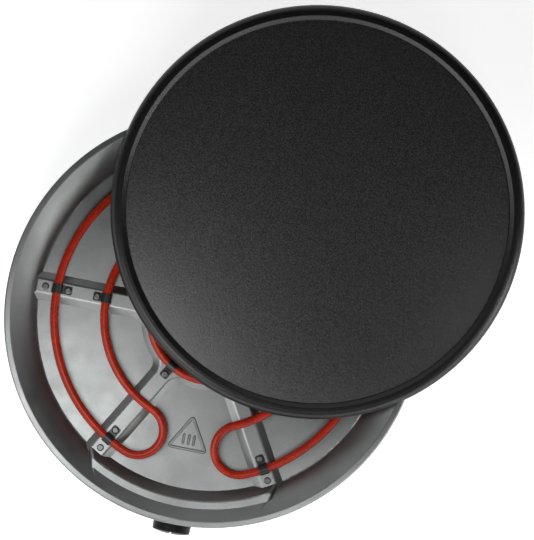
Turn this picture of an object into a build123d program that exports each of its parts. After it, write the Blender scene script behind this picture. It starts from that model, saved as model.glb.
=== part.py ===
from build123d import *
import os
from math import atan2, copysign, cos, degrees, hypot, radians, sin

# Electric crepe hot plate: a round griddle plate over a pressed pan with a clipped tubular element.
# Millimetres. The origin is on the base's upright axis, in the plane its feet stand on.
# +Z is up and -Y is the front, where the knob is. The griddle plate lies off its seat, across the rim.

# ------------------------------------------------------------------ driving dimensions
sheet = 1.2                 # thickness of every pressed sheet
gap = 0.2                   # air left between pieces that only rest on each other
running = 0.05              # radial clearance of what turns or slides in a hole

foot_height = 8.0
floor_z = 54.0              # top of the pan's floor
rim_z = 70.0                # top of the pan's rim
knob_z = 37.0               # height of the knob's axis

rim_r = 166.2               # outside of the rolled rim
lip_height = 5.0
wall_top_r = 161.5
floor_r = 141.0

arm_count = 6
arm_height = 4.0
arm_width = 11.2            # across an arm's flat top
arm_slope = 5.75            # plan width of each sloping side
hub_outer_r = 51.3          # the flat hub ring that the arms grow from
hub_inner_r = 45.8

ledge_z = 64.5              # front shelf, raised to clear the thermostat
ledge_foot_r = 137.0
ledge_inner_r = 145.5
ledge_outer_r = 151.5
ledge_end_r = 129.0         # each sloping end of the shelf runs from here, at ledge_end_angle
ledge_end_angle = 40.0      # measured from the front axis
ledge_rim_r = 157.0         # to here, at ledge_rim_angle
ledge_rim_angle = 28.6

plate_r = 165.0
plate_thickness = 5.2
plate_bead = 3.1            # how far the bead stands above the cooking surface
plate_offset = 119.8        # from its seat to where it lies
plate_direction = 56.9      # degrees from +X

tube_r = 3.3
outer_arc_r = 126.4
middle_arc_r = 86.5
inner_arc_r = 49.4
front_turn_angle = 22.75    # from the front axis
rear_turn_angle = 156.0
terminal_angle = 171.0
terminal_bend_r = 8.0

strap_width = 7.0
strap = 0.8                 # thickness of the clip straps
clip_slack = 0.15           # room for the tube's curve inside a strap
clip_toe = 3.2              # how far a clip's foot goes on past its screw

pan_screw_r = 136.0
foot_r = 130.0
foot_angles = (45, 135, 225, 315)

knob_r = 15.5
knob_front = 175.4          # how far the knob's face is from the axis
dial_panel = 158.0          # distance from the axis to the flat panel behind the knob
dial_panel_r = 19.0

# ------------------------------------------------------------------ derived places
front = 270.0
arm_angles = [i * 360 / arm_count for i in range(arm_count)]
arm_top_z = floor_z + arm_height
tube_z = arm_top_z + tube_r + running
cover_top_z = foot_height + sheet
form_base_z = floor_z - 4                   # how far down the pan's solid forms go before they are hollowed
pan_underside_z = floor_z - sheet
arm_underside_z = arm_top_z - sheet
post_r = 4.0
os.makedirs("parts", exist_ok=True)


def polar(radius, angle, z=0.0):
    return Vector(radius * cos(radians(angle)), radius * sin(radians(angle)), z)


def nearest(shapes, *point):
    return shapes.sort_by_distance(point)[0]


def finish(builder, name):
    builder.part.label = name
    export_step(builder.part, f"parts/{name}.step")


def facing_front(distance, height=knob_z, x=0.0):
    """A sketch plane that looks out of the front, at a distance from the base's axis."""
    return Plane(origin=(x, -distance, height), x_dir=(1, 0, 0), z_dir=(0, -1, 0))


# ------------------------------------------------------------------ element pan
ledge_fillet = 2.0
wall_top_fillet = 2.5
ledge_form_r = rim_r - 2
ledge_end_taper = 14
ledge_end_fillet = 2.2

with BuildPart() as ledge_form:
    with BuildSketch(Plane.XZ):
        with BuildLine():
            Polyline(
                (ledge_foot_r, form_base_z),
                (ledge_foot_r, floor_z),
                (ledge_inner_r, ledge_z),
                (ledge_outer_r, ledge_z),
                (wall_top_r, rim_z),
                (ledge_form_r, rim_z),
                (ledge_form_r, form_base_z),
                close=True,
            )
        make_face()
        fillet(nearest(vertices(), ledge_inner_r, ledge_z), ledge_fillet)
        fillet(nearest(vertices(), wall_top_r, rim_z), wall_top_fillet)
    revolve(axis=Axis.Z)
    end_inner = polar(ledge_end_r, front + ledge_end_angle)
    end_outer = polar(ledge_rim_r, front + ledge_rim_angle)
    end_run = end_outer - end_inner
    end_far = end_inner + end_run * 2.2
    with BuildSketch(Plane.XY.offset(form_base_z)):
        with BuildLine():
            Polyline(
                (-end_inner.X, end_inner.Y),
                (-end_far.X, end_far.Y),
                (end_far.X, end_far.Y),
                (end_inner.X, end_inner.Y),
                close=True,
            )
        make_face()
    extrude(amount=rim_z - form_base_z + 1, taper=ledge_end_taper, mode=Mode.INTERSECT)
    end_ridges = edges().filter_by(
        lambda edge: abs(edge.center().X) > 60 and floor_z < edge.center().Z < rim_z - 1
    )
    fillet(end_ridges, ledge_end_fillet)

hub_foot_r = hub_outer_r + arm_slope
arm_end_r = floor_r + 8
arm_root_fillet = 9.0
arm_edge_fillet = 3.0

with BuildPart() as star_form:
    with BuildSketch(Plane.XY.offset(floor_z)):
        with PolarLocations((hub_inner_r + arm_end_r) / 2, arm_count):
            Rectangle(arm_end_r - hub_inner_r, arm_width + 2 * arm_slope)
        Circle(hub_foot_r)
        Circle(hub_inner_r - arm_slope, mode=Mode.SUBTRACT)
        roots = vertices().filter_by(lambda v: abs(hypot(v.X, v.Y) - hub_foot_r) < 0.1)
        fillet(roots, arm_root_fillet)
    extrude(amount=arm_height, taper=degrees(atan2(arm_slope, arm_height)))
    fillet(edges().filter_by_position(Axis.Z, arm_top_z - 0.01, arm_top_z + 0.01), arm_edge_fillet)

wall_bulge = Vector(-0.8, 1.0)              # how far the wall's arc stands off its chord
wall_middle = (Vector(floor_r, floor_z) + Vector(wall_top_r, rim_z)) * 0.5 + wall_bulge
floor_fillet = 2.0

with BuildPart() as pan_form:
    with BuildSketch(Plane.XZ):
        with BuildLine():
            Line((0, floor_z), (floor_r, floor_z))
            ThreePointArc((floor_r, floor_z), (wall_middle.X, wall_middle.Y), (wall_top_r, rim_z))
            Polyline(
                (wall_top_r, rim_z),
                (rim_r, rim_z),
                (rim_r, form_base_z),
                (0, form_base_z),
                (0, floor_z),
            )
        make_face()
        fillet(nearest(vertices(), floor_r, floor_z), floor_fillet)
        fillet(nearest(vertices(), wall_top_r, rim_z), wall_top_fillet)
        fillet(nearest(vertices(), rim_r, rim_z), sheet - 0.1)
    revolve(axis=Axis.Z)
    add(star_form.part)
    add(ledge_form.part)


# the plain triangle pressed into the floor, its base towards the knob
triangle_base_y = -107.0
triangle_apex_y = -77.0
triangle_side = 34.6
triangle_line = 2.4
triangle_corner_r = 2.5
triangle_height = 0.9
triangle_slope = 0.8                         # how far the sides of the pressed lines run outwards
bar_length = 9.0
bar_width = 2.2
bar_spacing = 4.2
bar_y = triangle_base_y + 9.0

# for each kind of clip: the radius of the tube's arc, the distance from the tube's centre line to the
# screw, outwards if positive, and the arms that it sits on
clip_spots = {
    "outer_clips": (outer_arc_r, -8.8, arm_angles),
    "middle_clips": (middle_arc_r, 7.5, [0, 180]),
    "inner_clips": (inner_arc_r, 8.4, [60, 120, 240, 300]),
}
clip_slot_reach = tube_r + strap / 2 + 0.05  # from the tube's centre line to the slot for the strap's tail
clip_screw_points = [
    polar(radius + reach, angle)
    for radius, reach, angles in clip_spots.values()
    for angle in angles
]
clip_slots = [
    Location(polar(radius - copysign(clip_slot_reach, reach), angle), (0, 0, angle))
    for radius, reach, angles in clip_spots.values()
    for angle in angles
]
terminal_x = outer_arc_r * sin(radians(terminal_angle)) + terminal_bend_r * cos(radians(terminal_angle))
terminal_y = -outer_arc_r * cos(radians(terminal_angle)) + terminal_bend_r * sin(radians(terminal_angle))
terminal_points = [(terminal_x, terminal_y), (-terminal_x, terminal_y)]
bush_barrel_r = tube_r + 1.0
fuse_point = (-30.0, 0.0)
earth_point = (20.0, 18.0)
hole_room = 0.1                              # radial room in clearance holes
small_hole_r = 1.6
clip_hole_r = 1.5
pan_hole_r = 2.1

with BuildPart() as element_pan:
    add(pan_form.part)
    with BuildSketch(Plane.XY.offset(floor_z)):
        with BuildLine():
            Polyline(
                (-triangle_side / 2, triangle_base_y),
                (triangle_side / 2, triangle_base_y),
                (0, triangle_apex_y),
                close=True,
            )
        make_face()
        fillet(vertices(), triangle_corner_r)
        offset(amount=-triangle_line, mode=Mode.SUBTRACT)
        for bar in range(3):
            with Locations(((bar - 1) * bar_spacing, bar_y)):
                SlotOverall(bar_length, bar_width, rotation=90)
    extrude(amount=triangle_height, taper=degrees(atan2(triangle_slope, triangle_height)))
    pressed = element_pan.part.moved(Location((0, 0, -sheet)))
    add(pressed, mode=Mode.SUBTRACT)
    with BuildSketch(Plane.XY.offset(rim_z - lip_height)):
        Circle(rim_r)
        Circle(rim_r - sheet, mode=Mode.SUBTRACT)
    extrude(amount=lip_height - sheet + 0.1)
    with BuildSketch(Plane.XY.offset(form_base_z)):
        with PolarLocations(pan_screw_r, arm_count):
            Circle(pan_hole_r)
        with Locations(*clip_screw_points):
            Circle(clip_hole_r)
        with Locations(*clip_slots):
            Rectangle(strap + 0.4, strap_width + 0.6)
        with Locations(*terminal_points):
            Circle(bush_barrel_r + hole_room)
        with Locations(fuse_point, earth_point):
            Circle(small_hole_r)
    extrude(amount=rim_z - form_base_z, mode=Mode.SUBTRACT)
finish(element_pan, "element_pan")


# ------------------------------------------------------------------ heating element
def on_element(radius, angle, side=1, along=0.0, z=tube_z):
    """A point of the tube's route: angle is from the front axis, along a step on round the circle."""
    x = radius * sin(radians(angle)) + along * cos(radians(angle))
    y = -radius * cos(radians(angle)) + along * sin(radians(angle))
    return Vector(side * x, y, z)


front_turn_r = (outer_arc_r - middle_arc_r) / 2
rear_turn_r = (middle_arc_r - inner_arc_r) / 2
tube_end_z = 42.0

with BuildPart() as heating_element:
    with BuildLine() as element_route:
        half_bend = terminal_bend_r * sin(radians(45))
        bend_foot_z = tube_z - terminal_bend_r
        for side in (1, -1):
            Line(
                on_element(outer_arc_r, terminal_angle, side, terminal_bend_r, tube_end_z),
                on_element(outer_arc_r, terminal_angle, side, terminal_bend_r, bend_foot_z),
            )
            ThreePointArc(
                on_element(outer_arc_r, terminal_angle, side, terminal_bend_r, bend_foot_z),
                on_element(outer_arc_r, terminal_angle, side, half_bend, bend_foot_z + half_bend),
                on_element(outer_arc_r, terminal_angle, side),
            )
            ThreePointArc(
                on_element(outer_arc_r, terminal_angle, side),
                on_element(outer_arc_r, (front_turn_angle + terminal_angle) / 2, side),
                on_element(outer_arc_r, front_turn_angle, side),
            )
            ThreePointArc(
                on_element(outer_arc_r, front_turn_angle, side),
                on_element(outer_arc_r - front_turn_r, front_turn_angle, side, -front_turn_r),
                on_element(middle_arc_r, front_turn_angle, side),
            )
            ThreePointArc(
                on_element(middle_arc_r, front_turn_angle, side),
                on_element(middle_arc_r, (front_turn_angle + rear_turn_angle) / 2, side),
                on_element(middle_arc_r, rear_turn_angle, side),
            )
            ThreePointArc(
                on_element(middle_arc_r, rear_turn_angle, side),
                on_element(middle_arc_r - rear_turn_r, rear_turn_angle, side, rear_turn_r),
                on_element(inner_arc_r, rear_turn_angle, side),
            )
        ThreePointArc(
            on_element(inner_arc_r, rear_turn_angle, 1),
            on_element(inner_arc_r, 0),
            on_element(inner_arc_r, rear_turn_angle, -1),
        )
    route = element_route.wires()[0]
    with BuildSketch(Plane(origin=route @ 0, z_dir=route % 0)):
        Circle(tube_r)
    sweep(path=route)
finish(heating_element, "heating_element")

upwards = (Align.CENTER, Align.CENTER, Align.MIN)
downwards = (Align.CENTER, Align.CENTER, Align.MAX)
bush_flange_r = tube_r + 3.2
bush_flange = 1.4
bush_barrel = 8.0
bush_places = [(x, y, pan_underside_z) for x, y in terminal_points]

with BuildPart() as element_bushes:
    with Locations(*bush_places):
        Cylinder(bush_flange_r, bush_flange, align=downwards)
        Cylinder(bush_barrel_r, bush_barrel, align=downwards)
        Cylinder(bush_barrel_r, sheet, align=upwards)
    with Locations(*bush_places):
        Cylinder(tube_r + running, 3 * bush_barrel, mode=Mode.SUBTRACT)
finish(element_bushes, "element_bushes")


# ------------------------------------------------------------------ clips and screws
strap_tail = sheet + 2.0
foot_corner_r = 1.6
pan_head_r = 2.8
post_screw_r = 2.0
post_screw_length = 12.0
clip_head = 1.9
pan_head = 1.7


def clip(name):
    """Straps over the tube: a foot with a screw hole on one side, a tail through the pan on the other."""
    radius, reach, angles = clip_spots[name]
    side = copysign(1, reach)
    bore = tube_r + clip_slack
    with BuildPart() as one:
        with BuildSketch(Plane.XZ.offset(-strap_width / 2)):
            with Locations((0, tube_z)):
                Circle(bore + strap)
                Rectangle(4 * tube_r, 4 * tube_r, align=(Align.CENTER, Align.MAX), mode=Mode.SUBTRACT)
                Rectangle(2 * (bore + strap), tube_z - arm_top_z, align=(Align.CENTER, Align.MAX))
                Circle(bore, mode=Mode.SUBTRACT)
                Rectangle(2 * bore, 2 * tube_r, align=(Align.CENTER, Align.MAX), mode=Mode.SUBTRACT)
            with Locations((side * bore, arm_top_z)):
                Rectangle(
                    abs(reach) + clip_toe - bore,
                    strap,
                    align=(Align.MIN, Align.MIN) if side > 0 else (Align.MAX, Align.MIN),
                )
            with Locations((-side * (bore + strap / 2), arm_top_z + 0.1)):
                Rectangle(strap, strap_tail, align=(Align.CENTER, Align.MAX))
        extrude(amount=strap_width)
        foot_end = edges().filter_by(Axis.Z).sort_by(Axis.X)
        fillet(foot_end[-2:] if side > 0 else foot_end[:2], foot_corner_r)
        with Locations((reach, 0, arm_top_z)):
            Cylinder(small_hole_r, 4 * strap, mode=Mode.SUBTRACT)
    with BuildPart() as group:
        for angle in angles:
            add(one.part.moved(Location((0, 0, 0), (0, 0, angle)) * Location((radius, 0, 0))))
    return group


def cross_screw(head_r, head_height, shank_r, shank_length):
    """A pan-head screw with a cross recess, its head resting on z = 0."""
    with BuildPart() as screw:
        Cylinder(head_r, head_height, align=upwards)
        fillet(edges().sort_by(Axis.Z)[-1], 0.6 * head_height)
        Cylinder(shank_r, shank_length, align=downwards)
        chamfer(edges().sort_by(Axis.Z)[0], 0.3 * shank_r)
        with Locations((0, 0, head_height)):
            Box(1.3 * head_r, 0.32 * head_r, head_height, mode=Mode.SUBTRACT)
            Box(0.32 * head_r, 1.3 * head_r, head_height, mode=Mode.SUBTRACT)
    return screw.part


def screw_group(screw, places):
    with BuildPart() as group:
        with Locations(*places):
            add(screw)
    return group


for clip_name in clip_spots:
    finish(clip(clip_name), clip_name)

clip_screws = screw_group(
    cross_screw(pan_head_r, clip_head, clip_hole_r - running, 6.5),
    [(point.X, point.Y, arm_top_z + strap) for point in clip_screw_points],
)
finish(clip_screws, "clip_screws")

pan_screws = screw_group(
    cross_screw(pan_head_r, pan_head, post_screw_r, post_screw_length),
    [Location(polar(pan_screw_r, angle, arm_top_z), (0, 0, angle)) for angle in arm_angles],
)
finish(pan_screws, "pan_screws")

# ------------------------------------------------------------------ posts, cover, feet
with BuildPart() as support_posts:
    with BuildSketch(Plane.XY.offset(cover_top_z)):
        with PolarLocations(pan_screw_r, arm_count):
            RegularPolygon(post_r, 6)
            Circle(post_screw_r + running, mode=Mode.SUBTRACT)
    extrude(amount=arm_underside_z - cover_top_z)
finish(support_posts, "support_posts")

cover_r = 149.0
vent_r = 88.0
vent_inner_r = 45.0
vent_count = 24
vent_width = 4.0
foot_screw_r = 1.65
foot_top_r = 10.0
foot_sole_r = 8.5
foot_recess_r = 4.4
foot_recess = 4.0
wide_head_r = 3.4
foot_places = [polar(foot_r, angle) for angle in foot_angles]

with BuildPart() as bottom_cover:
    with BuildSketch(Plane.XY.offset(foot_height)):
        Circle(cover_r)
        with PolarLocations(vent_r, vent_count):
            SlotOverall(30, vent_width, mode=Mode.SUBTRACT)
        with PolarLocations(vent_inner_r, vent_count // 2):
            SlotOverall(20, vent_width, mode=Mode.SUBTRACT)
        with PolarLocations(pan_screw_r, arm_count):
            Circle(pan_hole_r, mode=Mode.SUBTRACT)
        with Locations(*foot_places):
            Circle(foot_screw_r + running, mode=Mode.SUBTRACT)
    extrude(amount=sheet)
finish(bottom_cover, "bottom_cover")

cover_screws = screw_group(
    cross_screw(wide_head_r, 2.0, post_screw_r, post_screw_length),
    [Location(polar(pan_screw_r, angle, foot_height), (180, 0, 0)) for angle in arm_angles],
)
finish(cover_screws, "cover_screws")

with BuildPart() as rubber_feet:
    with Locations(*foot_places):
        Cone(foot_sole_r, foot_top_r, foot_height, align=upwards)
    fillet(edges().group_by(Axis.Z)[0], 1.0)
    with Locations(*foot_places):
        Cylinder(foot_recess_r, foot_recess, align=upwards, mode=Mode.SUBTRACT)
        Cylinder(foot_screw_r + hole_room, foot_height, align=upwards, mode=Mode.SUBTRACT)
finish(rubber_feet, "rubber_feet")

foot_screws = screw_group(
    cross_screw(wide_head_r, 1.8, foot_screw_r, 7.5),
    [Location(polar(foot_r, angle, foot_recess), (180, 0, 0)) for angle in foot_angles],
)
finish(foot_screws, "foot_screws")

# ------------------------------------------------------------------ housing
housing_top_z = rim_z - sheet - 0.1
housing_top_r = rim_r - sheet - 0.1
housing_low_r = 158.5
housing_low_z = 17.0
housing_bottom_r = 154.5
housing_mouth_r = 141.2                      # the opening under the housing
housing_low_fillet = 9.0
housing_bottom_fillet = 3.0
dial_cup_depth = 12.0
housing_taper = degrees(atan2(housing_top_r - housing_low_r, housing_top_z - housing_low_z))


def wall_r(z):
    """The housing's outside radius at a height on its sloping wall."""
    share = (z - housing_low_z) / (housing_top_z - housing_low_z)
    return housing_low_r + share * (housing_top_r - housing_low_r)


with BuildPart() as housing_form:
    with BuildSketch(Plane.XZ):
        with BuildLine():
            Polyline(
                (0, housing_top_z),
                (housing_top_r, housing_top_z),
                (housing_low_r, housing_low_z),
                (housing_bottom_r, cover_top_z),
                (0, cover_top_z),
                close=True,
            )
        make_face()
        fillet(nearest(vertices(), housing_low_r, housing_low_z), housing_low_fillet)
        fillet(nearest(vertices(), housing_bottom_r, cover_top_z), housing_bottom_fillet)
    revolve(axis=Axis.Z)

with BuildPart() as dial_cup:
    with BuildSketch(facing_front(dial_panel - sheet)):
        Circle(dial_panel_r + sheet)
    extrude(amount=dial_cup_depth)
    with BuildSketch(facing_front(dial_panel)):
        Circle(dial_panel_r)
    extrude(amount=dial_cup_depth, mode=Mode.SUBTRACT)
    add(housing_form.part, mode=Mode.INTERSECT)

gland_z = 30.0
gland_r = 8.0
gland_plane = Plane(
    origin=(0, wall_r(gland_z), gland_z),
    x_dir=(-1, 0, 0),
    z_dir=(0, cos(radians(housing_taper)), -sin(radians(housing_taper))),
)
bush_r = 5.0

with BuildPart() as base_housing:
    add(housing_form.part)
    with BuildSketch(Plane.XZ):
        with BuildLine():
            Polyline(
                (0, housing_top_z + 1),
                (housing_top_r - sheet, housing_top_z + 1),
                (housing_top_r - sheet, housing_top_z),
                (housing_low_r - sheet, housing_low_z),
                (housing_bottom_r - sheet, cover_top_z + sheet),
                (0, cover_top_z + sheet),
                close=True,
            )
        make_face()
        fillet(nearest(vertices(), housing_low_r - sheet, housing_low_z), housing_low_fillet - 1)
        fillet(nearest(vertices(), housing_bottom_r - sheet, cover_top_z + sheet), housing_bottom_fillet - 1)
    revolve(axis=Axis.Z, mode=Mode.SUBTRACT)
    Cylinder(housing_mouth_r, 4 * cover_top_z, mode=Mode.SUBTRACT)
    with BuildSketch(facing_front(dial_panel)):
        Circle(dial_panel_r)
    extrude(amount=dial_cup_depth, mode=Mode.SUBTRACT)
    add(dial_cup.part)
    with BuildSketch(facing_front(dial_panel - 2 * sheet)):
        Circle(bush_r + 0.15)
    extrude(amount=4 * sheet, mode=Mode.SUBTRACT)
    with BuildSketch(gland_plane.offset(-5 * sheet)):
        Circle(gland_r)
    extrude(amount=10 * sheet, mode=Mode.SUBTRACT)
finish(base_housing, "base_housing")

# ------------------------------------------------------------------ cord gland, without a cord
gland_bore_r = 3.75
gland_groove = sheet + 0.5
gland_lip = 2.5
gland_flange = 2.4
gland_barb = 5.5
gland_room = 0.4                             # between the flange and the housing

with BuildPart() as cord_gland:
    with BuildSketch(gland_plane.offset(-gland_groove)):
        Circle(gland_r - 0.1)
    extrude(amount=gland_groove + gland_room)
    with BuildSketch(gland_plane.offset(gland_room)):
        Circle(gland_r + gland_lip)
    extrude(amount=gland_flange, taper=12)
    with BuildSketch(gland_plane.offset(-gland_groove)):
        Circle(gland_r + 1.6)
    extrude(amount=-gland_barb, taper=10)
    fillet(edges().filter_by(GeomType.CIRCLE).sort_by(Axis.Y)[-1], 0.8)
    with BuildSketch(gland_plane.offset(-4 * gland_barb)):
        Circle(gland_bore_r)
    extrude(amount=8 * gland_barb, mode=Mode.SUBTRACT)
finish(cord_gland, "cord_gland")

# ------------------------------------------------------------------ thermostat
spindle_r = 3.0
bracket_front = dial_panel - sheet          # the bracket lies against the inside of the dial panel
bracket_back = bracket_front - sheet
stack_x = -15.0
stack_size = 10.0
blade_root_x = stack_x + stack_size / 2
blade_tip_x = 11.0
contact_x = 9.0
blade = 0.4
blade_width = 5.0
blade_y = 148.4                             # distances from the base's axis, towards the front
fixed_blade_y = 143.5
contact_height = 1.2
bimetal_y = 139.4
pin_r = 1.5
bush_outer = 163.0
bush_shoulder = 153.4
bush_inner = 150.0
bush_nut_r = 7.6
bush_nut_height = 2.6
stack_hole_r = 2.0
stack_screw_r = 1.85
contact_r = 1.5
bimetal = 1.0
stack_head = 2.2
stack_tab_width = 4.8

with BuildPart() as thermostat_bracket:
    with BuildSketch(facing_front(bracket_back)):
        with Locations((-3, 0)):
            RectangleRounded(34, 18, 2)
        Circle(bush_r + hole_room, mode=Mode.SUBTRACT)
        with Locations((stack_x, 0)):
            Circle(stack_screw_r + running, mode=Mode.SUBTRACT)
    extrude(amount=sheet)
finish(thermostat_bracket, "thermostat_bracket")

with BuildPart() as spindle_bush:
    with BuildSketch(facing_front(bush_inner)):
        Circle(4.0)
    extrude(amount=bracket_back - bush_inner)
    with BuildSketch(facing_front(bracket_back - 1.4)):
        RegularPolygon(7.0, 6)
    extrude(amount=1.4)
    with BuildSketch(facing_front(bracket_back)):
        Circle(bush_r)
    extrude(amount=bush_outer - bracket_back)
    chamfer(edges().sort_by(Axis.Y)[0], 0.5)
    with BuildSketch(facing_front(bush_inner)):
        Circle(pin_r + running)
    extrude(amount=20, mode=Mode.SUBTRACT)
    with BuildSketch(facing_front(bush_shoulder)):
        Circle(spindle_r + running)
    extrude(amount=20, mode=Mode.SUBTRACT)
finish(spindle_bush, "spindle_bush")

with BuildPart() as bush_nut:
    with BuildSketch(facing_front(dial_panel)):
        RegularPolygon(bush_nut_r, 6)
        Circle(bush_r + 0.02, mode=Mode.SUBTRACT)
    extrude(amount=bush_nut_height)
finish(bush_nut, "bush_nut")

with BuildPart() as thermostat_stack:
    for low, high in (
        (blade_y, bracket_back),
        (fixed_blade_y, blade_y - blade),
        (bimetal_y, fixed_blade_y - blade),
    ):
        with BuildSketch(facing_front(low)):
            with Locations((stack_x, 0)):
                RectangleRounded(stack_size, stack_size, 1.5)
                Circle(stack_hole_r, mode=Mode.SUBTRACT)
        extrude(amount=high - low)
finish(thermostat_stack, "thermostat_stack")


def blade_root(y, tab_z):
    """The clamped end of a blade, with its push-on tab."""
    with BuildPart() as root:
        with BuildSketch(facing_front(y - blade)):
            with Locations((stack_x, 0)):
                Rectangle(stack_size, blade_width + 1)
            with Locations((stack_x - 1, tab_z)):
                Rectangle(stack_tab_width, 14, align=(Align.CENTER, Align.MIN if tab_z >= 0 else Align.MAX))
            with Locations((stack_x, 0)):
                Circle(stack_hole_r, mode=Mode.SUBTRACT)
        extrude(amount=blade)
    return root


finish(blade_root(blade_y, 1.0), "contact_blade_root")

with BuildPart() as contact_blade:
    with BuildSketch(facing_front(blade_y - blade)):
        with Locations((blade_root_x + 0.1, 0)):
            Rectangle(blade_tip_x - blade_root_x, blade_width, align=(Align.MIN, Align.CENTER))
    extrude(amount=blade)
    with BuildSketch(facing_front(blade_y - blade - contact_height)):
        with Locations((contact_x, 0)):
            Circle(contact_r)
    extrude(amount=contact_height)
finish(contact_blade, "contact_blade")

with BuildPart() as fixed_blade:
    add(blade_root(fixed_blade_y, -1.0).part)
    with BuildSketch(facing_front(fixed_blade_y - blade)):
        with Locations((blade_root_x, 0)):
            Rectangle(blade_tip_x - blade_root_x, blade_width, align=(Align.MIN, Align.CENTER))
    extrude(amount=blade)
    with BuildSketch(facing_front(fixed_blade_y)):
        with Locations((contact_x, 0)):
            Circle(contact_r)
    extrude(amount=contact_height)
finish(fixed_blade, "fixed_blade")

with BuildPart() as bimetal_strip:
    with BuildSketch(facing_front(bimetal_y - bimetal)):
        with Locations((stack_x - stack_size / 2, 0)):
            Rectangle(30, 8, align=(Align.MIN, Align.CENTER))
        with Locations((stack_x, 0)):
            Circle(stack_hole_r, mode=Mode.SUBTRACT)
    extrude(amount=bimetal)
finish(bimetal_strip, "bimetal_strip")

with BuildPart() as stack_screw:
    with BuildSketch(facing_front(bimetal_y - bimetal - stack_head)):
        with Locations((stack_x, 0)):
            RegularPolygon(3.6, 6)
    extrude(amount=stack_head)
    with BuildSketch(facing_front(bimetal_y - bimetal)):
        with Locations((stack_x, 0)):
            Circle(stack_screw_r)
    extrude(amount=bracket_front - bimetal_y + bimetal - 0.1)
finish(stack_screw, "stack_screw")

pin_y = blade_y + gap + pin_r
with BuildPart() as adjusting_pin:
    with BuildSketch(facing_front(pin_y)):
        Circle(pin_r)
    extrude(amount=bush_shoulder - gap / 2 - pin_y)
    with Locations((0, -pin_y, knob_z)):
        Sphere(pin_r)
finish(adjusting_pin, "adjusting_pin")

# ------------------------------------------------------------------ spindle and knob
spindle_end = 171.0
flat_from = bush_outer + 0.3
spindle_flat = 1.0                           # depth of the flat cut along the spindle
knob_back = dial_panel + 0.8
knob_edge = knob_front - 2.2
knob_edge_r = knob_r - 0.4
knob_edge_fillet = 0.9
knob_crown = Vector(0.52 * knob_r, -knob_front + 0.55)
knob_wall = 2.0
hub_r = 5.4
hub_from = bush_outer + 0.6
bore_r = spindle_r + 0.03
pointer_y = 9.6
pointer_length = 8.4
pointer_width = 1.6
pointer_depth = 3.2
spring = 0.5
knob_axis = Axis((0, 0, knob_z), (0, 1, 0))

with BuildPart() as spindle:
    with BuildSketch(facing_front(bush_shoulder + gap)):
        Circle(spindle_r)
    extrude(amount=spindle_end - bush_shoulder - gap)
    chamfer(edges().sort_by(Axis.Y)[0], 0.4)
    with BuildSketch(facing_front(flat_from)):
        with Locations((0, spindle_r)):
            Rectangle(3 * spindle_r, 2 * spindle_flat)
    extrude(amount=spindle_end, mode=Mode.SUBTRACT)
finish(spindle, "spindle")


def knob_profile(back_r):
    """Half of the knob's outline, from its axis: a crowned face and a side that ends at back_r."""
    Line((0, -knob_back), (0, -knob_front))
    ThreePointArc((0, -knob_front), (knob_crown.X, knob_crown.Y), (knob_edge_r, -knob_edge))
    Line((knob_edge_r, -knob_edge), (back_r, -knob_back))
    Line((back_r, -knob_back), (0, -knob_back))


with BuildPart() as knob:
    with BuildSketch(Plane.XY.offset(knob_z)):
        with BuildLine():
            knob_profile(knob_r)
        make_face()
        fillet(nearest(vertices(), knob_edge_r, -knob_edge), knob_edge_fillet)
    revolve(axis=knob_axis)
    with BuildSketch(facing_front(knob_back)):
        Circle(knob_r - knob_wall)
    extrude(amount=knob_edge - knob_back - knob_wall, mode=Mode.SUBTRACT)
    with BuildSketch(facing_front(hub_from)):
        Circle(hub_r)
    extrude(amount=knob_edge - bush_outer - 2)
    with BuildSketch(facing_front(hub_from)):
        Circle(bore_r)
        with Locations((0, bore_r)):
            Rectangle(3 * spindle_r, 2 * spindle_flat, mode=Mode.SUBTRACT)
        with Locations((0, spindle_r - spindle_flat + spring / 2 + 0.1)):
            Rectangle(3.2, spring + 0.2)
    extrude(amount=spindle_end - bush_outer - 0.4, mode=Mode.SUBTRACT)
    with BuildSketch(facing_front(knob_front - pointer_depth)):
        with Locations((0, pointer_y)):
            SlotOverall(pointer_length, pointer_width, rotation=90)
    extrude(amount=2 * pointer_depth, mode=Mode.SUBTRACT)
finish(knob, "knob")

with BuildPart() as knob_pointer:
    with BuildSketch(facing_front(knob_front - pointer_depth)):
        with Locations((0, pointer_y)):
            SlotOverall(pointer_length, pointer_width, rotation=90)
    extrude(amount=2 * pointer_depth)
    with BuildSketch(Plane.XY.offset(knob_z)):
        with BuildLine():
            knob_profile(knob_edge_r)
        make_face()
    revolve(axis=knob_axis, mode=Mode.INTERSECT)
finish(knob_pointer, "knob_pointer")

with BuildPart() as knob_spring:
    with BuildSketch(facing_front(bush_outer + 1.0)):
        with Locations((0, spindle_r - spindle_flat + spring / 2 + 0.08)):
            Rectangle(2.8, spring)
    extrude(amount=6)
finish(knob_spring, "knob_spring")

# ------------------------------------------------------------------ terminals, fuse and wires
bead_length = 5.0
bead_r = 3.0
element_pin_r = 1.2
tab_low_z = 24.0
tab_top_z = 31.0
tab_width = 6.3
tab = 0.8
stack_tab_x = stack_x - 1
stack_tab_reach = 11.5                       # from the spindle's axis to the middle of each push-on terminal
bead_places = [(x, y, tube_end_z) for x, y in terminal_points]

with BuildPart() as element_beads:
    with Locations(*bead_places):
        Cylinder(bead_r, bead_length, align=downwards)
        Cylinder(element_pin_r + 0.03, 3 * bead_length, mode=Mode.SUBTRACT)
    low_edges = edges().group_by(Axis.Z)[0]
    fillet(low_edges.sort_by(SortBy.RADIUS)[-2:], 1)
finish(element_beads, "element_beads")

with BuildPart() as element_pins:
    with Locations(*bead_places):
        Cylinder(element_pin_r, tube_end_z - tab_top_z + 2, align=downwards)
    with Locations(*[(x, y, tab_low_z) for x, y in terminal_points]):
        Box(tab_width, tab, tab_top_z - tab_low_z, align=upwards)
finish(element_pins, "element_pins")

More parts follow.
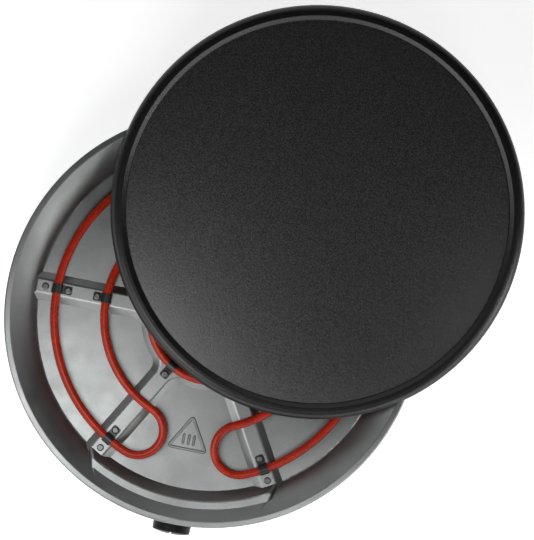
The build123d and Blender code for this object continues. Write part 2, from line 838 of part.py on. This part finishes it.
receptacle_length = 7.0
receptacle_z = tab_low_z + 1.5
receptacle_foot_z = receptacle_z - receptacle_length / 2 - gap
stack_tabs = [
    (stack_tab_x, -(blade_y - blade / 2), knob_z + stack_tab_reach),
    (stack_tab_x, -(fixed_blade_y - blade / 2), knob_z - stack_tab_reach),
]

with BuildPart() as push_on_terminals:
    with Locations(*stack_tabs):
        Box(stack_tab_width + 1.8, 2.4, receptacle_length)
        Box(stack_tab_width + running, blade + 0.04, 2 * receptacle_length, mode=Mode.SUBTRACT)
    with Locations(*[(x, y, receptacle_z) for x, y in terminal_points]):
        Box(tab_width + 1.7, tab + 2.0, receptacle_length)
    with Locations(*[(x, y, tab_low_z) for x, y in terminal_points]):
        Box(tab_width + 0.06, tab + 0.06, 12, align=upwards, mode=Mode.SUBTRACT)
finish(push_on_terminals, "push_on_terminals")

block_low_y = 78.0
block_depth = 16.0
block_height = 14.0
block_ways = (-12.0, 0.0, 12.0)
block_wire_z = cover_top_z + 6.0
block_wire_r = 1.9
block_screw_r = 1.9
block_screw_places = [(x, block_low_y + y) for x in block_ways for y in (4.5, 11.5)]

with BuildPart() as terminal_block:
    with Locations((0, block_low_y + block_depth / 2, cover_top_z)):
        Box(38, block_depth, block_height, align=(Align.CENTER, Align.CENTER, Align.MIN))
    fillet(edges().filter_by(Axis.Z), 1.5)
    fillet(edges().group_by(Axis.Z)[-1], 0.8)
    with BuildSketch(Plane.XZ.offset(-block_low_y - block_depth)):
        with Locations(*[(x, block_wire_z) for x in block_ways]):
            Circle(block_wire_r)
    extrude(amount=block_depth, mode=Mode.SUBTRACT)
    with BuildSketch(Plane.XY.offset(block_wire_z)):
        with Locations(*block_screw_places):
            Circle(block_screw_r + gap)
    extrude(amount=block_height, mode=Mode.SUBTRACT)
finish(terminal_block, "terminal_block")

block_screws = screw_group(
    cross_screw(block_screw_r, 1.4, 1.2, 1.7),
    [(x, y, block_wire_z + 3.2) for x, y in block_screw_places],
)
finish(block_screws, "block_screws")

fuse_x = -22.0
fuse_r = 2.2
fuse_half = 8.0
fuse_z = pan_underside_z - fuse_r - gap / 2
clamp_bore_r = fuse_r + running
clamp_width = 6.0

with BuildPart() as thermal_fuse:
    with BuildSketch(Plane.XZ.offset(-fuse_half)):
        with Locations((fuse_x, fuse_z)):
            Circle(fuse_r)
    extrude(amount=2 * fuse_half)
    fillet(edges().filter_by(GeomType.CIRCLE), 0.6)
finish(thermal_fuse, "thermal_fuse")

with BuildPart() as fuse_clamp:
    with BuildSketch(Plane.XZ.offset(-clamp_width / 2)):
        with Locations((fuse_x, fuse_z)):
            Circle(clamp_bore_r + strap)
            Rectangle(
                2 * (clamp_bore_r + strap),
                pan_underside_z - fuse_z,
                align=(Align.CENTER, Align.MIN),
            )
            Rectangle(2 * clamp_bore_r, 4 * fuse_r, align=(Align.CENTER, Align.MIN), mode=Mode.SUBTRACT)
            Circle(clamp_bore_r, mode=Mode.SUBTRACT)
        with Locations((fuse_x - clamp_bore_r, pan_underside_z)):
            Rectangle(10, strap, align=(Align.MAX, Align.MAX))
    extrude(amount=clamp_width)
    with Locations((*fuse_point, pan_underside_z)):
        Cylinder(small_hole_r, 4 * strap, mode=Mode.SUBTRACT)
finish(fuse_clamp, "fuse_clamp")

lug_thickness = 0.8
lug_r = 3.6
lug_barrel_r = 2.0
lug_barrel_z = pan_underside_z - lug_barrel_r

with BuildPart() as earth_lug:
    with BuildSketch(Plane.XY.offset(pan_underside_z - lug_thickness)):
        with Locations(earth_point):
            Circle(lug_r)
        with Locations((earth_point[0], earth_point[1] + 5)):
            Rectangle(3.2, 6)
        with Locations(earth_point):
            Circle(small_hole_r, mode=Mode.SUBTRACT)
    extrude(amount=lug_thickness)
    with BuildSketch(Plane.XZ.offset(-earth_point[1] - 7)):
        with Locations((earth_point[0], lug_barrel_z)):
            Circle(lug_barrel_r)
    extrude(amount=-5)
finish(earth_lug, "earth_lug")

small_screw_z = pan_underside_z - lug_thickness
small_pan_screws = screw_group(
    cross_screw(pan_head_r, 1.6, clip_hole_r, 3.2),
    [Location((*point, small_screw_z), (180, 0, 0)) for point in (fuse_point, earth_point)],
)
finish(small_pan_screws, "small_pan_screws")

wire_r = 1.3
wire_low_z = cover_top_z + wire_r + 0.6
tab_x, tab_y = terminal_points[0]
wires = {                    # each wire's route and the radius of its bends
    "live_wire": (
        [
            (-12, block_low_y + 3, block_wire_z),
            (-12, 62, block_wire_z),
            (-18, 34, 46),
            (fuse_x, 19, fuse_z),
            (fuse_x, fuse_half, fuse_z),
        ],
        8,
    ),
    "fuse_wire": (
        [
            (fuse_x, -fuse_half, fuse_z),
            (fuse_x, -24, fuse_z),
            (-27, -52, 22),
            (-28, -92, 17),
            (-17, -122, knob_z + stack_tab_reach),
            (stack_tab_x, -blade_y + 1.8, knob_z + stack_tab_reach),
        ],
        9,
    ),
    "heater_wire": (
        [
            (stack_tab_x, -fixed_blade_y + 1.8, knob_z - stack_tab_reach),
            (-18, -128, knob_z - 12),
            (-36, -104, wire_low_z),
            (-46, -40, wire_low_z + 0.4),
            (-42, 40, wire_low_z),
            (-34, 98, wire_low_z + 0.4),
            (-tab_x, tab_y, wire_low_z + 0.8),
            (-tab_x, tab_y, receptacle_foot_z),
        ],
        4,
    ),
    "neutral_wire": (
        [
            (12, block_low_y + block_depth - 3, block_wire_z),
            (12, 104, block_wire_z - 1),
            (tab_x, tab_y, wire_low_z + 0.8),
            (tab_x, tab_y, receptacle_foot_z),
        ],
        4,
    ),
    "earth_wire": (
        [
            (0, block_low_y + 3, block_wire_z),
            (0, 64, block_wire_z),
            (12, 44, 44),
            (earth_point[0], 34, lug_barrel_z),
            (earth_point[0], earth_point[1] + 12, lug_barrel_z),
        ],
        5,
    ),
}
for wire_name, (points, bend) in wires.items():
    with BuildPart() as wire:
        with BuildLine() as wire_route:
            FilletPolyline(*points, radius=bend)
        run = wire_route.wires()[0]
        with BuildSketch(Plane(origin=run @ 0, z_dir=run % 0)):
            Circle(wire_r)
        sweep(path=run)
    finish(wire, wire_name)

# ------------------------------------------------------------------ griddle plate
plate_z = rim_z + gap
plate_middle = polar(plate_offset, plate_direction)
crest_inner_r = 156.4
crest_outer_r = 159.0
cooking_r = 152.8
cooking_z = plate_z + plate_thickness
crest_z = cooking_z + plate_bead
side_foot_z = plate_z + 1.6                  # where the rounded shoulder meets the plate's side

with BuildPart() as griddle_plate:
    with BuildSketch(Plane(origin=plate_middle, x_dir=(1, 0, 0), z_dir=(0, -1, 0))):
        with BuildLine():
            Polyline(
                (0, plate_z),
                (0, cooking_z),
                (cooking_r, cooking_z),
                (crest_inner_r, crest_z),
                (crest_outer_r, crest_z),
            )
            ThreePointArc(
                (crest_outer_r, crest_z),
                (plate_r - 1.6, cooking_z + 0.8),
                (plate_r, side_foot_z),
            )
            Polyline((plate_r, side_foot_z), (plate_r, plate_z), (0, plate_z))
        make_face()
        fillet(nearest(vertices(), plate_r, plate_z), 0.8)
        fillet(nearest(vertices(), cooking_r, cooking_z), 1.6)
        fillet(nearest(vertices(), crest_inner_r, crest_z), 1.2)
    revolve(axis=Axis(plate_middle, (0, 0, 1)))
finish(griddle_plate, "griddle_plate")
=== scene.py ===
import math

import bpy
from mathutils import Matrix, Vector

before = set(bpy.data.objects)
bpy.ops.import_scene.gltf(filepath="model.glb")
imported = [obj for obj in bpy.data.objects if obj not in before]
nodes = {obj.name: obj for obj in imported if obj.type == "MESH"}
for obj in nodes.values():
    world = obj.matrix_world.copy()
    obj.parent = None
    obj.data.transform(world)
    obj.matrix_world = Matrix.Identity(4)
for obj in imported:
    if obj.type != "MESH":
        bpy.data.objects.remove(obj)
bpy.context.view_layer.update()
scene = bpy.context.scene

# ------------------------------------------------------------------ the photograph's view, straight down
ROLL = math.radians(11.25)                  # the picture's right is turned this far from +X
RIGHT = Vector((math.cos(ROLL), math.sin(ROLL), 0))
UP = Vector((-math.sin(ROLL), math.cos(ROLL), 0))
LOOK_AT = Vector((0.0349, 0.0472, 0.066))   # the middle of the picture, at the height of the plate
VIEW_TALL = 0.4305                          # metres that the picture's height covers
DISTANCE = 5.0                              # far enough away for an almost parallel view
SENSOR = 36.0                               # millimetres

camera_data = bpy.data.cameras.new("camera")
camera_data.sensor_width = SENSOR
camera_data.lens = SENSOR * DISTANCE / VIEW_TALL
camera_data.clip_start = 0.1
camera_data.clip_end = 6 * DISTANCE
camera = bpy.data.objects.new("camera", camera_data)
camera.location = LOOK_AT + Vector((0, 0, DISTANCE))
camera.rotation_euler = (0, 0, ROLL)
scene.collection.objects.link(camera)
scene.camera = camera


# ------------------------------------------------------------------ lights
def area_light(name, place, aim, size, power, spread=180):
    """A square softbox: place (right, up, height) and aim (right, up) are metres from the picture's middle,
    size is metres, power is watts and spread is degrees."""
    data = bpy.data.lights.new(name, "AREA")
    data.size = size
    data.energy = power
    data.spread = math.radians(spread)
    light = bpy.data.objects.new(name, data)
    light.location = LOOK_AT + RIGHT * place[0] + UP * place[1] + Vector((0, 0, place[2]))
    target = LOOK_AT + RIGHT * aim[0] + UP * aim[1]
    light.rotation_mode = "QUATERNION"
    light.rotation_quaternion = (light.location - target).to_track_quat("Z", "Y")
    scene.collection.objects.link(light)


area_light("key_left", (-0.17, -0.125, 0.23), (0, 0), 0.18, 0.52)
area_light("key_right", (0.29, -0.12, 0.34), (0, 0), 0.12, 0.15)
area_light("rim_right", (0.46, -0.16, 0.14), (0.19, -0.04), 0.16, 0.05, 40)
area_light("key_front", (0.05, -0.28, 0.25), (0.05, -0.27), 0.2, 0.075, 60)

# ------------------------------------------------------------------ a low band of sky with bright sides
world = bpy.data.worlds.new("studio")
scene.world = world
world.use_nodes = True
air = world.node_tree
direction = air.nodes.new("ShaderNodeTexCoord").outputs["Generated"]


def sky_math(operation, first, second):
    """One arithmetic step of the sky; each value is a number or a socket."""
    node = air.nodes.new("ShaderNodeMath")
    node.operation = operation
    for socket, value in zip(node.inputs, (first, second)):
        if isinstance(value, float):
            socket.default_value = value
        else:
            air.links.new(value, socket)
    return node.outputs["Value"]


def sky_ramp(value, start, end, strength):
    """Rises smoothly from nothing at start to strength at end."""
    ramp = air.nodes.new("ShaderNodeMapRange")
    ramp.interpolation_type = "SMOOTHSTEP"
    for key, number in (("From Min", start), ("From Max", end), ("To Min", 0.0), ("To Max", strength)):
        ramp.inputs[key].default_value = number
    air.links.new(value, ramp.inputs["Value"])
    return ramp.outputs["Result"]


def sky_side(aim, outer, inner, strength):
    """A soft bright side of the sky, between two cosines of the angle from its middle."""
    dot = air.nodes.new("ShaderNodeVectorMath")
    dot.operation = "DOT_PRODUCT"
    dot.inputs[1].default_value = aim.normalized()
    air.links.new(direction, dot.inputs[0])
    return sky_ramp(dot.outputs["Value"], outer, inner, strength)


SKY_BASE = 0.006                            # strength of the sky away from the bright sides
BACKDROP = 0.92                             # strength of the plain background that the camera sees
BAND_TOP = 0.60                             # sines of the heights between which the low band fades in
BAND_FULL = 0.40

height = air.nodes.new("ShaderNodeSeparateXYZ")
air.links.new(direction, height.inputs["Vector"])
near_horizon = sky_ramp(height.outputs["Z"], BAND_TOP, BAND_FULL, 1.0)
front_right = sky_side(-UP + RIGHT * 0.8, 0.72, 0.94, 3.6)
front_left = sky_side(-UP - RIGHT, 0.45, 0.92, 3.0)
back = sky_side(UP - RIGHT * 0.2, 0.5, 0.9, 1.0)
sides = sky_math("ADD", sky_math("ADD", front_right, front_left), back)
sky = sky_math("ADD", sky_math("MULTIPLY", near_horizon, sides), SKY_BASE)
seen = air.nodes.new("ShaderNodeLightPath").outputs["Is Camera Ray"]
backdrop = air.nodes.new("ShaderNodeMix")
backdrop.inputs["B"].default_value = BACKDROP
air.links.new(seen, backdrop.inputs["Factor"])
air.links.new(sky, backdrop.inputs["A"])
air.links.new(backdrop.outputs["Result"], air.nodes["Background"].inputs["Strength"])
air.nodes["Background"].inputs["Color"].default_value = (1, 1, 1, 1)
scene.view_settings.view_transform = "Standard"


# ------------------------------------------------------------------ materials
class Shader:
    """A Principled material with helpers for its procedural nodes."""

    def __init__(self, name, **uniform):
        self.material = bpy.data.materials.new(name)
        self.material.use_nodes = True
        self.tree = self.material.node_tree
        self.principled = self.tree.nodes["Principled BSDF"]
        for key, value in uniform.items():
            self.principled.inputs[key.replace("_", " ")].default_value = value
        self.place = self.tree.nodes.new("ShaderNodeTexCoord").outputs["Object"]

    def noise(self, scale, detail=2.0, roughness=0.5, place=None):
        """Random clouds of values round 0.5, with about scale of them to the metre."""
        node = self.tree.nodes.new("ShaderNodeTexNoise")
        node.inputs["Scale"].default_value = scale
        node.inputs["Detail"].default_value = detail
        node.inputs["Roughness"].default_value = roughness
        self.tree.links.new(place or self.place, node.inputs["Vector"])
        return node.outputs["Fac"]

    def stretched(self, x, y, z):
        """The object's own coordinates, each axis scaled on its own."""
        node = self.tree.nodes.new("ShaderNodeMapping")
        node.inputs["Scale"].default_value = (x, y, z)
        self.tree.links.new(self.place, node.inputs["Vector"])
        return node.outputs["Vector"]

    def band(self, value, low, high, out_low, out_high):
        """Maps low to high onto out_low to out_high, and holds the ends."""
        node = self.tree.nodes.new("ShaderNodeMapRange")
        for key, number in (("From Min", low), ("From Max", high), ("To Min", out_low), ("To Max", out_high)):
            node.inputs[key].default_value = number
        self.tree.links.new(value, node.inputs["Value"])
        return node.outputs["Result"]

    def colours(self, value, first, second, low=0.3, high=0.7):
        """Goes from the first colour, at low, to the second, at high."""
        node = self.tree.nodes.new("ShaderNodeValToRGB")
        node.color_ramp.elements[0].position = low
        node.color_ramp.elements[0].color = (*first, 1)
        node.color_ramp.elements[1].position = high
        node.color_ramp.elements[1].color = (*second, 1)
        self.tree.links.new(value, node.inputs["Fac"])
        return node.outputs["Color"]

    def mixed(self, share, first, second):
        """Two colours, with that share of the second."""
        node = self.tree.nodes.new("ShaderNodeMix")
        node.data_type = "RGBA"
        node.inputs["Factor"].default_value = share
        self.tree.links.new(first, node.inputs["A"])
        self.tree.links.new(second, node.inputs["B"])
        return node.outputs["Result"]

    def paint(self, colour):
        self.tree.links.new(colour, self.principled.inputs["Base Color"])

    def gloss(self, value):
        self.tree.links.new(value, self.principled.inputs["Roughness"])

    def bump(self, value, strength, distance):
        """Raises the surface with the value; distance is metres."""
        node = self.tree.nodes.new("ShaderNodeBump")
        node.inputs["Strength"].default_value = strength
        node.inputs["Distance"].default_value = distance
        self.tree.links.new(value, node.inputs["Height"])
        self.tree.links.new(node.outputs["Normal"], self.principled.inputs["Normal"])


def satin(name, low, high, roughness, grain=1400, bump=0.25, metallic=1.0):
    """Sheet metal with a fine grain and faint broad clouds."""
    s = Shader(name, Metallic=metallic)
    fine = s.noise(grain, 3, 0.6)
    broad = s.noise(22, 3, 0.6)
    s.paint(s.mixed(0.5, s.colours(fine, low, high), s.colours(broad, low, high)))
    s.gloss(s.band(s.noise(60, 4, 0.6), 0.3, 0.7, roughness - 0.04, roughness + 0.04))
    s.bump(fine, bump, 0.00004)
    return s.material


def brushed(name, low, high, roughness):
    """Sheet metal brushed round its upright axis: fine level streaks with slow changes of tone."""
    s = Shader(name, Metallic=1.0)
    streaks = s.noise(1.0, 3, 0.65, place=s.stretched(16, 16, 2200))
    wide = s.noise(1.0, 2, 0.5, place=s.stretched(6, 6, 260))
    s.paint(s.mixed(0.4, s.colours(streaks, low, high, 0.25, 0.75), s.colours(wide, low, high)))
    s.gloss(s.band(streaks, 0.3, 0.7, roughness - 0.06, roughness + 0.08))
    s.bump(streaks, 0.3, 0.00005)
    return s.material


def plastic(name, low, high, roughness, grain=2500, bump=0.2, specular=0.5):
    """Moulded plastic, rubber or ceramic with a fine grain."""
    s = Shader(name, Specular_IOR_Level=specular)
    fine = s.noise(grain, 2, 0.6)
    s.paint(s.colours(s.noise(140, 4, 0.6), low, high))
    s.gloss(s.band(s.noise(300, 3), 0.3, 0.7, roughness - 0.05, roughness + 0.07))
    s.bump(fine, bump, 0.00003)
    return s.material


def nonstick(name, specular):
    """A black coat with a fine speckle."""
    s = Shader(name, IOR=1.85, Specular_IOR_Level=specular)
    speck = s.noise(1000, 2, 0.7)
    broad = s.noise(9, 3, 0.5)
    speckled = s.colours(speck, (0.002, 0.002, 0.0021), (0.012, 0.012, 0.0122), 0.35, 0.75)
    clouded = s.colours(broad, (0.004, 0.004, 0.004), (0.010, 0.010, 0.010))
    s.paint(s.mixed(0.25, speckled, clouded))
    s.bump(speck, 0.8, 0.00013)
    s.gloss(s.band(s.noise(1150, 1, 0.5), 0.38, 0.62, 0.315, 0.45))
    return s.material


def element_red():
    """The heating tube's red enamel, mottled and fairly glossy."""
    s = Shader("element_red", Specular_IOR_Level=0.22)
    mottle = s.noise(180, 4, 0.6)
    s.paint(s.colours(mottle, (0.22, 0.011, 0.003), (0.34, 0.018, 0.005)))
    s.gloss(s.band(s.noise(420, 3), 0.3, 0.7, 0.22, 0.34))
    s.bump(s.noise(1500, 2), 0.2, 0.00004)
    return s.material


# each slot's finish: two tones, the darker first, then the roughness and anything unusual
finishes = {
    "pan_steel": satin("pan_steel", (0.19, 0.20, 0.197), (0.27, 0.28, 0.277), 0.44),
    "housing_steel": brushed("housing_steel", (0.36, 0.365, 0.37), (0.46, 0.465, 0.47), 0.36),
    "cover_steel": satin("cover_steel", (0.32, 0.325, 0.33), (0.42, 0.425, 0.43), 0.5),
    "nonstick": nonstick("nonstick", 0.78),
    "element_red": element_red(),
    "clip_black": satin("clip_black", (0.012, 0.012, 0.013), (0.035, 0.035, 0.037), 0.34, 900, 0.2, 0.55),
    "screw_steel": satin("screw_steel", (0.07, 0.07, 0.072), (0.16, 0.16, 0.16), 0.38, 1800, 0.2),
    "post_steel": satin("post_steel", (0.45, 0.45, 0.46), (0.6, 0.6, 0.6), 0.35),
    "terminal_steel": satin("terminal_steel", (0.42, 0.42, 0.42), (0.6, 0.6, 0.6), 0.3),
    "ceramic_white": plastic("ceramic_white", (0.66, 0.64, 0.6), (0.8, 0.79, 0.76), 0.45),
    "brass": satin("brass", (0.62, 0.43, 0.17), (0.8, 0.58, 0.27), 0.32),
    "bracket_steel": satin("bracket_steel", (0.4, 0.41, 0.42), (0.58, 0.58, 0.59), 0.38),
    "blade_bronze": satin("blade_bronze", (0.55, 0.32, 0.16), (0.74, 0.46, 0.26), 0.34),
    "bimetal": satin("bimetal", (0.4, 0.39, 0.37), (0.6, 0.58, 0.54), 0.36),
    "knob_black": plastic("knob_black", (0.004, 0.004, 0.0043), (0.008, 0.008, 0.0085), 0.4, 1600, 0.1, 0.12),
    "pointer_white": plastic("pointer_white", (0.66, 0.66, 0.65), (0.82, 0.82, 0.8), 0.4),
    "rubber_black": plastic("rubber_black", (0.012, 0.012, 0.012), (0.028, 0.028, 0.029), 0.7, 1800, 0.4),
    "fuse_metal": satin("fuse_metal", (0.5, 0.48, 0.42), (0.7, 0.66, 0.56), 0.3),
    "wire_brown": plastic("wire_brown", (0.09, 0.035, 0.014), (0.14, 0.055, 0.022), 0.4),
    "wire_white": plastic("wire_white", (0.6, 0.59, 0.56), (0.75, 0.74, 0.7), 0.5),
    "wire_blue": plastic("wire_blue", (0.014, 0.06, 0.26), (0.02, 0.09, 0.36), 0.4),
    "wire_green_yellow": plastic("wire_green_yellow", (0.10, 0.26, 0.03), (0.62, 0.5, 0.03), 0.4),
}

for node in nodes.values():
    for index, old in enumerate(node.data.materials):
        key = old.name.split(".")[0] if old else None
        if key in finishes:
            node.data.materials[index] = finishes[key]

COOKING_RADIUS = 0.1525                     # the plate's coat is duller outside its flat cooking face
plate = nodes["griddle_plate"].data
middle = sum((Vector(corner) for corner in nodes["griddle_plate"].bound_box), Vector()).xy / 8
plate.materials.append(nonstick("nonstick_rim", 0.16))
for face in plate.polygons:
    reach = max((plate.vertices[index].co.xy - middle).length for index in face.vertices)
    if reach > COOKING_RADIUS and plate.materials[face.material_index] == finishes["nonstick"]:
        face.material_index = len(plate.materials) - 1

# ------------------------------------------------------------------ the floor
FLOOR = 6.0                                 # metres from the middle of the floor to each side
FLOOR_GLOW = 0.68                           # keeps the floor as pale as the backdrop
corners = [(-FLOOR, -FLOOR, 0), (FLOOR, -FLOOR, 0), (FLOOR, FLOOR, 0), (-FLOOR, FLOOR, 0)]
floor_mesh = bpy.data.meshes.new("floor")
floor_mesh.from_pydata(corners, [], [(0, 1, 2, 3)])
floor = bpy.data.objects.new("floor", floor_mesh)
scene.collection.objects.link(floor)
paper = Shader("paper", Roughness=0.8)
paper.paint(paper.colours(paper.noise(3, 2), (0.90, 0.90, 0.90), (0.93, 0.93, 0.93)))
paper.principled.inputs["Emission Color"].default_value = (1, 1, 1, 1)
paper.principled.inputs["Emission Strength"].default_value = FLOOR_GLOW
floor.data.materials.append(paper.material)
